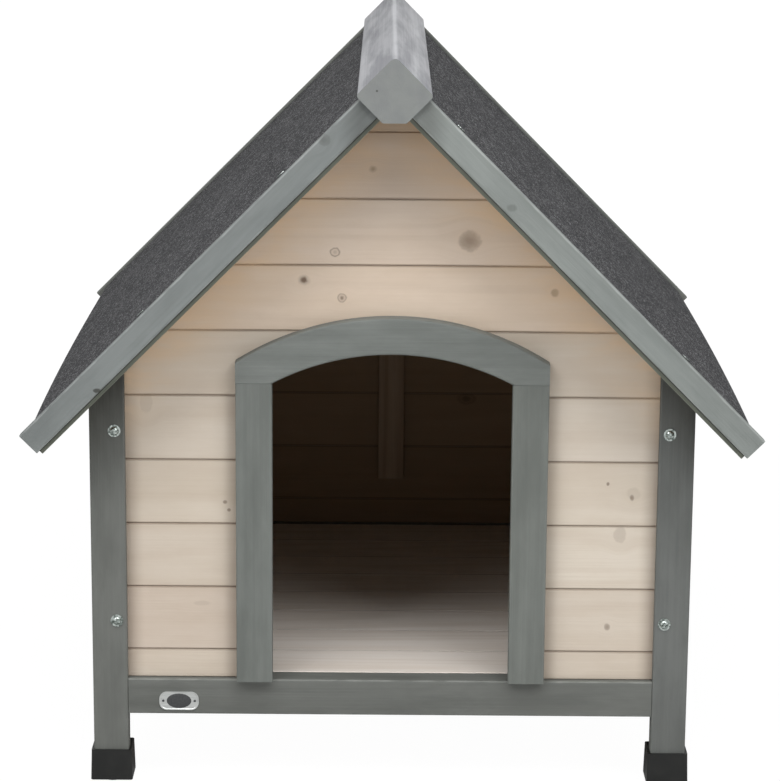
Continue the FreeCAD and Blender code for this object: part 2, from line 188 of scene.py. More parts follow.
def makeGrainGroup(spec):
    group, start, end = newGroup(
        "timberGrain",
        [("Vector", vectorSocket, None), ("Seed", numberSocket, 0.0), ("Coarse", numberSocket, 14.0)],
        [(label, numberSocket) for label in ("Rings", "Fibre", "Blotch", "Mottle", "Tone", "Height")])
    shift = addNode(group, "ShaderNodeCombineXYZ", {
        axis: mathNode(group, "MULTIPLY", start["Seed"], step)
        for axis, step in zip("XYZ", spec["seedShift"])})
    place = vectorNode(group, "ADD", start["Vector"], shift.outputs[0])
    coarse = scaledVector(group, vectorNode(group, "MULTIPLY", place, spec["ringStretch"]), start["Coarse"])
    field = noise(group, coarse, 1.0, 1.0, spec["ringRoughness"])
    waves = mathNode(group, "SINE", mathNode(group, "MULTIPLY", field, spec["ringCount"]))
    rings = mathNode(group, "POWER", remap(group, waves, *spec["ringLimits"]), spec["ringSharpness"])
    fibre, blotch, mottle = [
        remap(group, stretchedNoise(group, place, spec[f"{kind}Stretch"], *spec[f"{kind}Detail"]),
              *spec[f"{kind}Limits"]) for kind in ("fibre", "blotch", "mottle")]
    tone = addNode(group, "ShaderNodeTexWhiteNoise", {"W": start["Seed"]}, noise_dimensions="1D")
    height = mathNode(group, "ADD", mathNode(group, "MULTIPLY", rings, spec["ringHeight"]),
                      mathNode(group, "MULTIPLY", fibre, spec["fibreHeight"]))
    for label, value in (("Rings", rings), ("Fibre", fibre), ("Blotch", blotch), ("Mottle", mottle),
                         ("Tone", tone.outputs["Value"]), ("Height", height)):
        group.links.new(value, end[label])
    return group


# one knot at a place on a board; the grain's coordinates are bent round it
knotPattern = {
    "wobbleScale": 190.0, "wobble": 0.5,
    # distances from the middle, in half sizes of the knot: where a mark starts and where it is full
    "body": (1.15, 0.65), "core": (0.75, 0.15), "rimOutside": (1.28, 1.0), "rimInside": (1.0, 0.7),
    "bend": (4.0, 0.4, 0.0, 0.75),
}


def makeKnotGroup(spec):
    group, start, end = newGroup(
        "placedKnot",
        [(label, vectorSocket, None) for label in ("Vector", "Grain", "Centre", "Squeeze")],
        [("Grain", vectorSocket), ("Body", numberSocket), ("Core", numberSocket), ("Rim", numberSocket)])
    away = vectorNode(group, "SUBTRACT", start["Vector"], start["Centre"])
    wobble = mathNode(group, "SUBTRACT", noise(group, start["Vector"], spec["wobbleScale"]), 0.5)
    reach = vectorNode(group, "LENGTH", vectorNode(group, "MULTIPLY", away, start["Squeeze"]))
    reach = mathNode(group, "ADD", reach, mathNode(group, "MULTIPLY", wobble, spec["wobble"]))
    rim = mathNode(group, "SUBTRACT", remap(group, reach, *spec["rimOutside"]),
                   remap(group, reach, *spec["rimInside"]), clamp=True)
    pull = remap(group, reach, *spec["bend"])
    bent = vectorNode(group, "SUBTRACT", start["Grain"], scaledVector(group, away, pull))
    for label, value in (("Grain", bent), ("Body", remap(group, reach, *spec["body"])),
                         ("Core", remap(group, reach, *spec["core"])), ("Rim", rim)):
        group.links.new(value, end[label])
    return group


# a few knots anywhere, for boards that the photograph doesn't show
looseKnotPattern = {
    "spacing": 0.11, "share": 0.25, "stretch": (0.62, 1.0, 1.0), "widthSpread": 0.045, "leastWidth": 0.03,
    "wobbleScale": 160.0, "wobble": 0.03,
    "core": (1.0, 0.3), "rimOutside": (1.5, 1.0), "rimInside": (1.0, 0.7),
}


def makeLooseKnotGroup(spec):
    group, start, end = newGroup(
        "looseKnots",
        [("Vector", vectorSocket, None), ("Spacing", numberSocket, spec["spacing"]),
         ("Share", numberSocket, spec["share"])],
        [("Core", numberSocket), ("Rim", numberSocket)])
    cells = addNode(group, "ShaderNodeTexVoronoi", {
        "Vector": vectorNode(group, "MULTIPLY", start["Vector"], spec["stretch"]),
        "Scale": mathNode(group, "DIVIDE", 1.0, start["Spacing"])})
    keep = mathNode(group, "LESS_THAN", colourPart(group, cells.outputs["Color"], 0), start["Share"])
    width = mathNode(group, "MULTIPLY_ADD", colourPart(group, cells.outputs["Color"], 1),
                     spec["widthSpread"], spec["leastWidth"])
    wobble = mathNode(group, "MULTIPLY_ADD", noise(group, start["Vector"], spec["wobbleScale"]),
                      spec["wobble"], -spec["wobble"] / 2)
    reach = mathNode(group, "DIVIDE", mathNode(group, "ADD", cells.outputs["Distance"], wobble), width)
    rim = mathNode(group, "SUBTRACT", remap(group, reach, *spec["rimOutside"]),
                   remap(group, reach, *spec["rimInside"]), clamp=True)
    for label, value in (("Core", remap(group, reach, *spec["core"])), ("Rim", rim)):
        group.links.new(mathNode(group, "MULTIPLY", value, keep), end[label])
    return group


# painted highlight along the edges of a straight bar, from the limits of its cross section; noise makes its
# width uneven
edgeHighlightPattern = {"width": 0.003, "scale": 45.0, "detail": 3.0, "spread": 1.8, "least": 0.1}


def makeEdgeHighlightGroup(spec):
    group, start, end = newGroup(
        "paintedEdgeHighlight",
        [("Vector", vectorSocket, None), ("Low", vectorSocket, None), ("High", vectorSocket, None),
         ("Width", numberSocket, spec["width"])],
        [("Mask", numberSocket)])
    near = vectorNode(group, "MINIMUM", vectorNode(group, "SUBTRACT", start["Vector"], start["Low"]),
                      vectorNode(group, "SUBTRACT", start["High"], start["Vector"]))
    parts = addNode(group, "ShaderNodeSeparateXYZ", {"Vector": near})
    reach = mathNode(group, "ADD", parts.outputs["Y"], parts.outputs["Z"])
    uneven = mathNode(group, "MULTIPLY_ADD", noise(group, start["Vector"], spec["scale"], spec["detail"]),
                      spec["spread"], spec["least"])
    share = mathNode(group, "DIVIDE", reach, mathNode(group, "MULTIPLY", start["Width"], uneven))
    group.links.new(mathNode(group, "SUBTRACT", 1.0, share, clamp=True), end["Mask"])
    return group


# dirt and shade along the joints between boards, which repeat at one pitch
jointPattern = {"first": 0.151, "pitch": 0.0707, "width": 0.0024, "limits": (1.0, 0.25)}


def makeJointGroup(spec):
    group, start, end = newGroup(
        "boardJoints",
        [("Height", numberSocket, 0.0), ("First", numberSocket, spec["first"]),
         ("Pitch", numberSocket, spec["pitch"]), ("Width", numberSocket, spec["width"])],
        [("Mask", numberSocket), ("Course", numberSocket)])
    above = mathNode(group, "SUBTRACT", start["Height"], start["First"])
    steps = mathNode(group, "DIVIDE", above, start["Pitch"])
    course = mathNode(group, "FLOOR", steps)
    part = mathNode(group, "SUBTRACT", steps, course)
    near = mathNode(group, "MINIMUM", part, mathNode(group, "SUBTRACT", 1.0, part))
    reach = mathNode(group, "DIVIDE", mathNode(group, "MULTIPLY", near, start["Pitch"]), start["Width"])
    group.links.new(remap(group, reach, *spec["limits"]), end["Mask"])
    group.links.new(course, end["Course"])
    return group


grainGroup = makeGrainGroup(grainPattern)
knotGroup = makeKnotGroup(knotPattern)
looseKnotGroup = makeLooseKnotGroup(looseKnotPattern)
edgeHighlightGroup = makeEdgeHighlightGroup(edgeHighlightPattern)
jointGroup = makeJointGroup(jointPattern)
print("grain, knots, edges and joints ready")

# how the timber is turned so that its length is X in the pattern
grainTurns = {
    "X": (0, 0, 0),
    "Y": (0, 0, -math.pi / 2),
    "Z": (0, math.pi / 2, 0),
    "rightSlope": (0, -math.pi / 4, 0),
    "leftSlope": (0, math.pi / 4, 0),
}

# each look: its colours, then how much of each pattern shows, then gloss and grain size
# under the roof's edge the boards take painted shade and warm bounced light, and under the beam a painted
# shadow
creamGlaze = {
    "pale": srgb(219, 208, 194), "deep": srgb(205, 191, 174), "ring": srgb(178, 155, 134),
    "knot": srgb(108, 87, 72), "joint": srgb(98, 76, 60), "roofShadeColour": srgb(233, 204, 170),
    "rings": 0.09, "fibre": 0.05, "blotch": 0.50, "mottle": 0.30, "tone": 0.18, "knots": 0.5,
    "patchy": 0.9, "shadeStart": 0.0, "shadeEnd": 0.13, "apexShade": 0.30,
    "roughness": 0.66, "bump": 0.22, "coarse": 12.0, "stretch": 0.8,
}
insideBoards = {
    "pale": srgb(184, 164, 141), "deep": srgb(162, 139, 115), "ring": srgb(130, 100, 76),
    "knot": srgb(100, 72, 52), "joint": srgb(60, 44, 32),
    "rings": 0.30, "fibre": 0.2, "blotch": 0.5, "mottle": 0.2, "tone": 0.35, "knots": 0.7,
    "roughness": 0.7, "bump": 0.3, "coarse": 14.0, "stretch": 0.8,
}
floorWood = {
    "pale": srgb(240, 233, 226), "deep": srgb(225, 215, 204), "ring": srgb(196, 180, 163),
    "knot": srgb(150, 126, 106), "joint": srgb(84, 66, 52),
    "rings": 0.16, "fibre": 0.12, "blotch": 0.45, "mottle": 0.25, "tone": 0.2, "knots": 0.5,
    "roughness": 0.62, "bump": 0.2, "coarse": 12.0, "stretch": 0.8,
}
# the posts' tops under the eaves take painted shade, in a dark colour
greyStain = {
    "pale": srgb(128, 132, 128), "deep": srgb(106, 110, 106), "ring": srgb(86, 89, 86),
    "knot": srgb(66, 67, 63), "joint": srgb(50, 50, 46), "roofShadeColour": srgb(50, 49, 44),
    # the edge colour is a painted highlight along the bars' edges
    "edge": srgb(150, 153, 149), "highlightWidth": 0.0016,
    "rings": 0.10, "fibre": 0.12, "blotch": 0.45, "mottle": 0.45, "tone": 0.2, "knots": 0.35,
    "patchy": 0.2, "shadeStart": 0.0, "shadeEnd": 0.13,
    "roughness": 0.6, "bump": 0.3, "coarse": 15.0, "stretch": 0.7,
}
# in these copies too, the edge colour is a painted highlight
postStain = dict(greyStain, pale=srgb(116, 118, 114), deep=srgb(93, 95, 91), edge=srgb(126, 128, 123))
railStain = dict(postStain, edge=srgb(178, 180, 175))
# the front verge boards are painted lighter than the other grey pieces, for the light that falls on them
vergeStain = dict(greyStain, pale=srgb(142, 147, 146), deep=srgb(119, 124, 123), ring=srgb(98, 101, 98),
                  edge=srgb(206, 210, 208), highlightWidth=0.0017)
# a thin dark line of painted shadow runs along the battens where they meet the verge boards
battenStain = dict(greyStain, pale=srgb(132, 136, 124), deep=srgb(112, 116, 104), roofShadeColour=srgb(24, 24, 22),
                   shadeStart=0.0168, shadeEnd=0.0190)
# the beam has a sawn end, and a painted highlight runs pale along its ridge
beamStain = dict(greyStain, pale=srgb(196, 197, 200), deep=srgb(142, 143, 148), ring=srgb(112, 113, 118),
                 rings=0.04, fibre=0.14, blotch=0.60, mottle=0.80, coarse=20.0, stretch=0.30,
                 endTone=srgb(133, 136, 134), ridgeHighlight=srgb(214, 216, 218))
beamEndAndHighlight = {
    "cloud": (42.0, 3.0, 0.55), "cloudShade": (0.40, 0.75, 0.0, 0.30), "ridgeWidth": (0.0030, 0.0006),
    "ridgeBlotch": -0.35, "ridgeStrength": 0.60, "ridgeAbove": 0.79, "endFacing": (0.7, 0.9),
}
# what all timber has in common
timberDetail = {
    "mottleLevel": -0.2, "courseSeed": 1.37, "firstSeam": 0.3, "seamStrength": 0.45,
    "looseDrift": (3.1, 1.0, 0.7), "looseRim": 0.6, "highlightStrength": 0.6, "apexShadeLimits": (0.690, 0.722),
    "bumpDistance": 0.0006, "roughnessSpread": 0.12, "gloss": 0.3,
}

# how much lighter or darker, and how warm, some pieces are beside the rest of their kind; partly their own
# tone, partly painted light
pieceToneAndLight = {
    # front_board_07 to 09 are painted lighter for light under the roof; the front verge boards darker and
    # lighter for how light falls
    "front_board_09": (1.12, 1.05, 1.02), "front_board_08": (1.09, 1.03, 1.00),
    "front_board_07": (1.12, 1.05, 1.00), "front_board_02_left": (0.94, 0.91, 0.90),
    "front_board_03_left": (0.96, 0.95, 0.94), "front_board_04_left": (0.96, 0.95, 0.93),
    "front_board_03_right": (1.05, 1.06, 1.06), "front_board_04_right": (1.05, 1.06, 1.06),
    "verge_board_front_left": (0.92, 0.92, 0.92), "verge_board_front_right": (1.07, 1.07, 1.04),
    "door_arch": (1.07, 1.07, 1.08), "door_trim_right": (0.90, 0.90, 0.89),
    "front_post_right": (0.96, 0.97, 1.0),
}


def withToneAndLight(nodeName, look):
    tint = pieceToneAndLight.get(nodeName, (1.0, 1.0, 1.0))
    changed = {key: (*[value * share for value, share in zip(look[key], tint)], 1.0)
               for key in ("pale", "deep")}
    return dict(look, **changed)


def patternBox(nodeName, turn):
    # limits of a piece in its own grain frame
    rotation = Euler(turn).to_matrix()
    points = [rotation @ vertex.co for vertex in nodes[nodeName].data.vertices]
    low = Vector([min(p[i] for p in points) for i in range(3)])
    high = Vector([max(p[i] for p in points) for i in range(3)])
    return low, high


def paintRoofShade(tree, sideways, height, fibres, look, colour, strength):
    # painted shade: close under the roof's edge the colour turns darker and warm, for shade and light
    # bounced off the boards, and the boards under the beam take a painted shadow
    climb = mathNode(tree, "SUBTRACT", roofLine, mathNode(tree, "ADD", sideways, height))
    patches = mathNode(tree, "MULTIPLY_ADD", fibres["Mottle"], look["patchy"], 1 - look["patchy"] / 2)
    near = remap(tree, climb, look["shadeEnd"], look["shadeStart"], 0.0, strength)
    colour = mixColour(tree, mathNode(tree, "MULTIPLY", near, patches), colour, look["roofShadeColour"])
    if "apexShade" in look:
        high = remap(tree, height, *timberDetail["apexShadeLimits"], 0.0, look["apexShade"])
        colour = mixColour(tree, high, colour, look["joint"])
    return colour


# the beam's sawn end, and a painted highlight along its ridge
def beamEndAndRidgeHighlight(tree, place, sideways, height, fibres, look, colour):
    facing = addNode(tree, "ShaderNodeSeparateXYZ", {"Vector": addNode(
        tree, "ShaderNodeNewGeometry").outputs["Normal"]}).outputs["Y"]
    cloudy = noise(tree, place, *beamEndAndHighlight["cloud"])
    sawn = mixColour(tree, remap(tree, cloudy, *beamEndAndHighlight["cloudShade"]), look["endTone"], look["ring"])
    # painted highlight along the ridge
    ridgeHighlightMask = mathNode(tree, "MULTIPLY", remap(tree, sideways, *beamEndAndHighlight["ridgeWidth"]), mathNode(
        tree, "MULTIPLY_ADD", fibres["Blotch"], beamEndAndHighlight["ridgeBlotch"], beamEndAndHighlight["ridgeStrength"]))
    ridgeHighlightMask = mathNode(tree, "MULTIPLY", ridgeHighlightMask, mathNode(tree, "GREATER_THAN", height, beamEndAndHighlight["ridgeAbove"]))
    colour = mixColour(tree, ridgeHighlightMask, colour, look["ridgeHighlight"])
    atEnd = remap(tree, mathNode(tree, "ABSOLUTE", facing), *beamEndAndHighlight["endFacing"])
    return mixColour(tree, atEnd, colour, sawn)


def timberMaterial(name, look, along, seed, knots=(), box=None, seams=None, manyBoards=False,
                   looseShare=0.0, shade=(), bareShadedSide=None, roofShade=0.0):
    # knots: x, y, z, half length and half height, then how dark body, core and rim are
    # seams: axis or slope, first joint, pitch; shade: distance from the middle, reach, strength
    detail = timberDetail
    material = bpy.data.materials.new(name)
    material.use_nodes = True
    tree = material.node_tree
    tree.nodes.clear()
    place = addNode(tree, "ShaderNodeTexCoord").outputs["Object"]
    parts = addNode(tree, "ShaderNodeSeparateXYZ", {"Vector": place}).outputs
    sideways = mathNode(tree, "ABSOLUTE", parts["X"])
    turned = addNode(tree, "ShaderNodeMapping", {
        "Vector": place, "Rotation": grainTurns[along]}).outputs["Vector"]
    grain = turned
    marks = []
    for x, y, z, halfLength, halfHeight, *weights in knots:
        spot = useGroup(tree, knotGroup, {
            "Vector": place, "Grain": grain, "Centre": (x, y, z),
            "Squeeze": (1 / halfLength, 0.0, 1 / halfHeight)})
        grain = spot["Grain"]
        for label, weight in zip(("Body", "Core", "Rim"), weights):
            if weight:
                marks.append(mathNode(tree, "MULTIPLY", spot[label], weight))
    grain = vectorNode(tree, "MULTIPLY", grain, (look["stretch"], 1.0, 1.0))
    seedValue, seam = seed, None
    if seams:
        axis, first, pitch = seams
        height = parts[axis] if axis != "slope" else mathNode(
            tree, "MULTIPLY", mathNode(tree, "SUBTRACT", sideways, parts["Z"]), math.sqrt(0.5))
        course = useGroup(tree, jointGroup, {"Height": height, "First": first, "Pitch": pitch})
        lowest = first + (detail["firstSeam"] * pitch if manyBoards else -pitch)
        seam = mathNode(tree, "MULTIPLY", course["Mask"], mathNode(tree, "GREATER_THAN", height, lowest))
        if manyBoards:
            # every board of the piece gets its own grain
            seedValue = mathNode(tree, "MULTIPLY_ADD", course["Course"], detail["courseSeed"], seed)
    fibres = useGroup(tree, grainGroup, {"Vector": grain, "Seed": seedValue, "Coarse": look["coarse"]})
    toned = mathNode(tree, "MULTIPLY_ADD", fibres["Tone"], look["tone"],
                     detail["mottleLevel"] * look["mottle"])
    amount = mathNode(tree, "MULTIPLY_ADD", fibres["Blotch"], look["blotch"], toned)
    amount = mathNode(tree, "MULTIPLY_ADD", fibres["Mottle"], look["mottle"], amount, clamp=True)
    colour = mixColour(tree, amount, look["pale"], look["deep"])
    for label, key in (("Rings", "rings"), ("Fibre", "fibre")):
        colour = mixColour(tree, mathNode(tree, "MULTIPLY", fibres[label], look[key]), colour, look["ring"])
    if looseShare:
        drift = vectorNode(tree, "ADD", turned, tuple(seed * step for step in detail["looseDrift"]))
        loose = useGroup(tree, looseKnotGroup, {"Vector": drift, "Share": looseShare})
        marks.append(mathNode(tree, "MULTIPLY", loose["Core"], look["knots"]))
        marks.append(mathNode(tree, "MULTIPLY", loose["Rim"], look["knots"] * detail["looseRim"]))
    if "endTone" in look:
        colour = beamEndAndRidgeHighlight(tree, place, sideways, parts["Z"], fibres, look, colour)
    for mark in marks:
        colour = mixColour(tree, mark, colour, look["knot"])
    if seam is not None:
        dirt = mathNode(tree, "MULTIPLY", seam, detail["seamStrength"])
        colour = mixColour(tree, dirt, colour, look["joint"])
    # painted shade beside the posts, the trim and the beam's end, in the joint colour
    for middle, reach, strength in shade:
        gap = mathNode(tree, "ABSOLUTE", mathNode(tree, "SUBTRACT", sideways, middle))
        colour = mixColour(tree, remap(tree, gap, reach, 0.0, 0.0, strength), colour, look["joint"])
    if bareShadedSide:
        # the side that faces the cabin is darker: bare timber, deepened with painted shade for the dark
        # inside of the cabin
        axis, limit = bareShadedSide
        bare = mathNode(tree, "LESS_THAN", mathNode(tree, "ABSOLUTE", parts[axis]), limit)
        tint = mixColour(tree, 1.0, colour, insideBoards["pale"], blend="MULTIPLY")
        colour = mixColour(tree, bare, colour, tint)
    # painted shade under the roof's edge and a painted shadow under the beam
    if roofShade:
        colour = paintRoofShade(tree, sideways, parts["Z"], fibres, look, colour, roofShade)
    # painted highlight along the edges of straight bars
    if box:
        highlight = useGroup(tree, edgeHighlightGroup, {"Vector": turned, "Low": box[0], "High": box[1],
                                         "Width": look["highlightWidth"]})["Mask"]
        highlight = mathNode(tree, "MULTIPLY", highlight, detail["highlightStrength"])
        colour = mixColour(tree, highlight, colour, look["edge"])
    bump = addNode(tree, "ShaderNodeBump", {"Height": fibres["Height"], "Strength": look["bump"],
                                            "Distance": detail["bumpDistance"]})
    rough = mathNode(tree, "MULTIPLY_ADD", fibres["Fibre"], detail["roughnessSpread"], look["roughness"])
    surface = addNode(tree, "ShaderNodeBsdfPrincipled", {
        "Base Color": colour, "Roughness": rough, "Normal": bump.outputs["Normal"],
        "Specular IOR Level": detail["gloss"]})
    out = addNode(tree, "ShaderNodeOutputMaterial")
    tree.links.new(surface.outputs[0], out.inputs["Surface"])
    return material


def dress(nodeName, material):
    mesh = nodes[nodeName].data
    mesh.materials.clear()
    mesh.materials.append(material)


# faces and joints of the walls and the roof, in metres
boardFace, vergeFace, beamEnd = -0.349, -0.435, -0.440
roofLine = 0.7745
wallSeams = ("Z", 0.151, 0.0707)
deckSeams = ("slope", -0.5119, 0.06867)
floorSeams = ("Y", -0.3262, 0.08155)
cabinDepth, cabinWidth = ("Y", 0.3385), ("X", 0.303)

# front boards, with the knots that the photograph shows: x, z, half sizes, how dark body, core and rim are
frontKnots = {
    "front_board_09": [(-0.0222, 0.6775, 0.0045, 0.0040, 0.32, 0.60, 0.0)],
    "front_board_08": [(-0.0618, 0.5893, 0.0048, 0.0044, 0.08, 0.22, 0.50),
                       (0.0806, 0.6021, 0.0106, 0.0103, 0.50, 0.28, 0.20)],
    "front_board_07": [(-0.0945, 0.5591, 0.0068, 0.0060, 0.22, 0.90, 0.0),
                       (-0.0542, 0.5401, 0.0044, 0.0044, 0.16, 0.70, 0.42),
                       (0.1714, 0.5472, 0.0044, 0.0046, 0.80, 0.50, 0.10)],
    "front_board_05_left": [(-0.2633, 0.4260, 0.0060, 0.0110, 0.13, 0.0, 0.10)],
    "front_board_04_left": [(-0.1795, 0.3164, 0.0025, 0.0023, 0.50, 0.30, 0.0),
                            (-0.1752, 0.3075, 0.0022, 0.0022, 0.55, 0.30, 0.0)],
    "front_board_04_right": [(0.2327, 0.3395, 0.0019, 0.0023, 0.55, 0.30, 0.0),
                             (0.2590, 0.3242, 0.0023, 0.0033, 0.50, 0.30, 0.15),
                             (0.2610, 0.3290, 0.0080, 0.0070, 0.10, 0.0, 0.0)],
    "front_board_03_right": [(0.2471, 0.2829, 0.0062, 0.0080, 0.20, 0.0, 0.14)],
    "front_board_02_right": [(0.2357, 0.1793, 0.0036, 0.0040, 0.42, 0.22, 0.0)],
    "front_board_02_left": [(-0.2050, 0.2030, 0.0100, 0.0030, 0.12, 0.0, 0.0)],
}
# shade beside the posts and the trim: distance from the middle, reach, strength
trimShade = [(0.286, 0.020, 0.40), (0.167, 0.017, 0.30)]
postShade = [(0.286, 0.020, 0.40)]
# shade on the front verge boards beside the beam's end
beamShade = [(0.034, 0.026, 0.42)]

# first seed and step between seeds for each kind of timber, then how many loose knots each has
timberSeeds = {
    "front": (3.0, 4.7), "rear": (40.0, 1.9), "sides": (63.0, 9.1), "decks": (81.0, 5.3),
    "floor": (17.0, 0.0), "bars": (15.6, 4.3), "grey": (5.0, 2.7),
}
looseShares = {"walls": 0.22, "decks": 0.3, "floor": 0.12, "bars": 0.2, "grey": 0.06}
boardRoofShade = 0.75
bareBars = [
    ("floor_cleats", "Y"), ("floor_ledgers", "Y"), ("front_gable_batten", "Z"), ("rear_gable_batten", "Z"),
]


def seedFor(kind, number):
    first, step = timberSeeds[kind]
    return first + number * step


def dressFrontBoards():
    cut = [f"front_board_{course:02d}_{side}" for course in range(1, 6) for side in ("left", "right")]
    whole = [f"front_board_{course:02d}" for course in range(6, 11)]
    for number, name in enumerate(cut + whole):
        knots = [(x, boardFace, z, *rest) for x, z, *rest in frontKnots.get(name, [])]
        # of the whole boards, only the two lowest come near the posts
        shade = trimShade if name in cut else postShade if name in whole[:2] else ()
        dress(name, timberMaterial(name, withToneAndLight(name, creamGlaze), "X", seedFor("front", number), knots,
                                   seams=wallSeams, shade=shade, bareShadedSide=cabinDepth,
                                   roofShade=boardRoofShade))


def dressOtherBoards():
    for course in range(1, 11):
        name = f"rear_board_{course:02d}"
        dress(name, timberMaterial(name, creamGlaze, "X", seedFor("rear", course), seams=wallSeams,
                                   looseShare=looseShares["walls"], bareShadedSide=cabinDepth))
    for number, side in enumerate(("left", "right")):
        name = f"{side}_side_boards"
        dress(name, timberMaterial(name, creamGlaze, "Y", seedFor("sides", number), seams=wallSeams,
                                   manyBoards=True, looseShare=looseShares["walls"], bareShadedSide=cabinWidth))
        name = f"roof_deck_{side}"
        dress(name, timberMaterial(name, insideBoards, "Y", seedFor("decks", number), seams=deckSeams,
                                   manyBoards=True, looseShare=looseShares["decks"]))
    name = "floor_boards"
    dress(name, timberMaterial(name, floorWood, "X", seedFor("floor", 0), seams=floorSeams,
                               manyBoards=True, looseShare=looseShares["floor"]))
    for number, (name, along) in enumerate(bareBars):
        dress(name, timberMaterial(name, insideBoards, along, seedFor("bars", number),
                                   looseShare=looseShares["bars"]))


# grey pieces: name, how the grain runs, look, shade under the roof
greyPieces = [
    ("front_post_left", "Z", postStain, 0.75), ("front_post_right", "Z", postStain, 0.75),
    ("rear_post_left", "Z", postStain, 0.75), ("rear_post_right", "Z", postStain, 0.75),
    ("front_bottom_rail", "X", railStain, 0), ("rear_bottom_rail", "X", railStain, 0),
    ("left_side_posts", "Z", postStain, 0), ("right_side_posts", "Z", postStain, 0),
    ("left_bottom_rail", "Y", postStain, 0), ("right_bottom_rail", "Y", postStain, 0),
    ("left_eaves_rail", "Y", postStain, 0), ("right_eaves_rail", "Y", postStain, 0),
    ("door_trim_left", "Z", greyStain, 0), ("door_trim_right", "Z", greyStain, 0),
    ("door_arch", "X", greyStain, 0),
    ("roof_battens_left", "leftSlope", battenStain, 0.9),
    ("roof_battens_right", "rightSlope", battenStain, 0.9),
    ("verge_board_front_left", "leftSlope", vergeStain, 0),
    ("verge_board_front_right", "rightSlope", vergeStain, 0),
    # the rear verge boards take the darker post colour as painted shade
    ("verge_board_rear_left", "leftSlope", postStain, 0),
    ("verge_board_rear_right", "rightSlope", postStain, 0),
    ("ridge_beam", "Y", beamStain, 0),
]
greyKnots = {
    "verge_board_front_left": [(-0.0718, vergeFace, 0.7184, 0.0060, 0.0055, 0.28, 0.15, 0.15),
                               (-0.3075, vergeFace, 0.4560, 0.0042, 0.0026, 0.90, 0.20, 0.0)],
    "verge_board_front_right": [(0.1207, vergeFace, 0.6502, 0.0050, 0.0036, 0.30, 0.0, 0.10)],
    "ridge_beam": [(-0.0182, beamEnd, 0.7690, 0.0012, 0.0012, 0.80, 0.0, 0.0)],
}
# pieces of more than one bar, or of no straight bar, have no painted edge highlight
noEdgeHighlight = {"left_side_posts", "right_side_posts", "roof_battens_left", "roof_battens_right", "door_arch",
            "ridge_beam"}


def dressGreyTimber():
    for number, (name, along, look, roofShade) in enumerate(greyPieces):
        box = None if name in noEdgeHighlight else patternBox(name, grainTurns[along])
        shade = beamShade if look is vergeStain else ()
        looseShare = 0.0 if name in greyKnots else looseShares["grey"]
        dress(name, timberMaterial(name, withToneAndLight(name, look), along, seedFor("grey", number),
                                   greyKnots.get(name, ()), box=box, shade=shade, looseShare=looseShare,
                                   roofShade=roofShade))


dressFrontBoards()
dressOtherBoards()
dressGreyTimber()
print("timber dressed")


def plainMaterial(name, build):
    material = bpy.data.materials.new(name)
    material.use_nodes = True
    tree = material.node_tree
    tree.nodes.clear()
    surface = addNode(tree, "ShaderNodeBsdfPrincipled")
    place = addNode(tree, "ShaderNodeTexCoord").outputs["Object"]
    build(tree, surface, place)
    out = addNode(tree, "ShaderNodeOutputMaterial")
    tree.links.new(surface.outputs[0], out.inputs["Surface"])
    return material


def finish(tree, surface, colour, roughness, height=None, look=None):
    feed(tree, surface.inputs["Base Color"], colour)
    feed(tree, surface.inputs["Roughness"], roughness)
    if height is not None:
        bump = addNode(tree, "ShaderNodeBump", {"Height": height, "Strength": look["bump"],
                                                "Distance": look["bumpDistance"]})
        tree.links.new(bump.outputs["Normal"], surface.inputs["Normal"])
        surface.inputs["Specular IOR Level"].default_value = look["gloss"]


# granules in two sizes, broken up by darker and lighter patches; each shade: from, to, least, most
feltLook = {
    "dark": srgb(30, 30, 32), "middle": srgb(60, 60, 63), "light": srgb(152, 152, 154),
    "granules": 900.0, "clusters": 520.0, "spread": (1.0, 0.45, 1.0), "granuleLight": (0.84, 1.0, 0.0, 0.80),
    "clusterDark": (0.45, 0.0, 0.0, 0.55), "clusterLight": (0.80, 1.0, 0.0, 0.45),
    "patches": (70.0, 3.0, 0.6), "patchLight": (0.5, 0.72, 0.0, 0.13), "patchDark": (0.5, 0.30, 0.0, 0.30),
    "clouds": (7.0, 2.0, 0.5), "cloudLight": (0.5, 0.85, 0.0, 0.10),
    "roughness": 0.92, "gloss": 0.25, "bump": 0.7, "bumpDistance": 0.0007, "roundness": 1.2,
}


def buildFelt(tree, surface, place):
    look = feltLook
    spread = vectorNode(tree, "MULTIPLY", place, look["spread"])
    grit = addNode(tree, "ShaderNodeTexVoronoi", {"Vector": spread, "Scale": look["granules"]})
    lumps = addNode(tree, "ShaderNodeTexVoronoi", {"Vector": spread, "Scale": look["clusters"]})
    pick = colourPart(tree, grit.outputs["Color"], 0)
    lump = colourPart(tree, lumps.outputs["Color"], 0)
    patch = noise(tree, spread, *look["patches"])
    wide = noise(tree, place, *look["clouds"])
    colour = mixColour(tree, pick, look["dark"], look["middle"])
    for value, key, tone in ((lump, "clusterDark", "dark"), (lump, "clusterLight", "light"),
                             (pick, "granuleLight", "light"), (patch, "patchLight", "light"),
                             (patch, "patchDark", "dark"), (wide, "cloudLight", "light")):
        colour = mixColour(tree, remap(tree, value, *look[key]), colour, look[tone])
    away = mathNode(tree, "MULTIPLY", grit.outputs["Distance"], look["roundness"])
    finish(tree, surface, colour, look["roughness"], mathNode(tree, "SUBTRACT", 1.0, away), look)


# black plastic of the feet, a little dusty
footLook = {
    "clean": srgb(17, 18, 17), "dusty": srgb(38, 38, 36), "grain": 900.0, "dust": (40.0, 3.0),
    "dustShade": (0.45, 0.8, 0.0, 0.5), "roughness": (0.3, 0.8, 0.42, 0.62), "gloss": 0.35,
    "bump": 0.25, "bumpDistance": 0.0003,
}


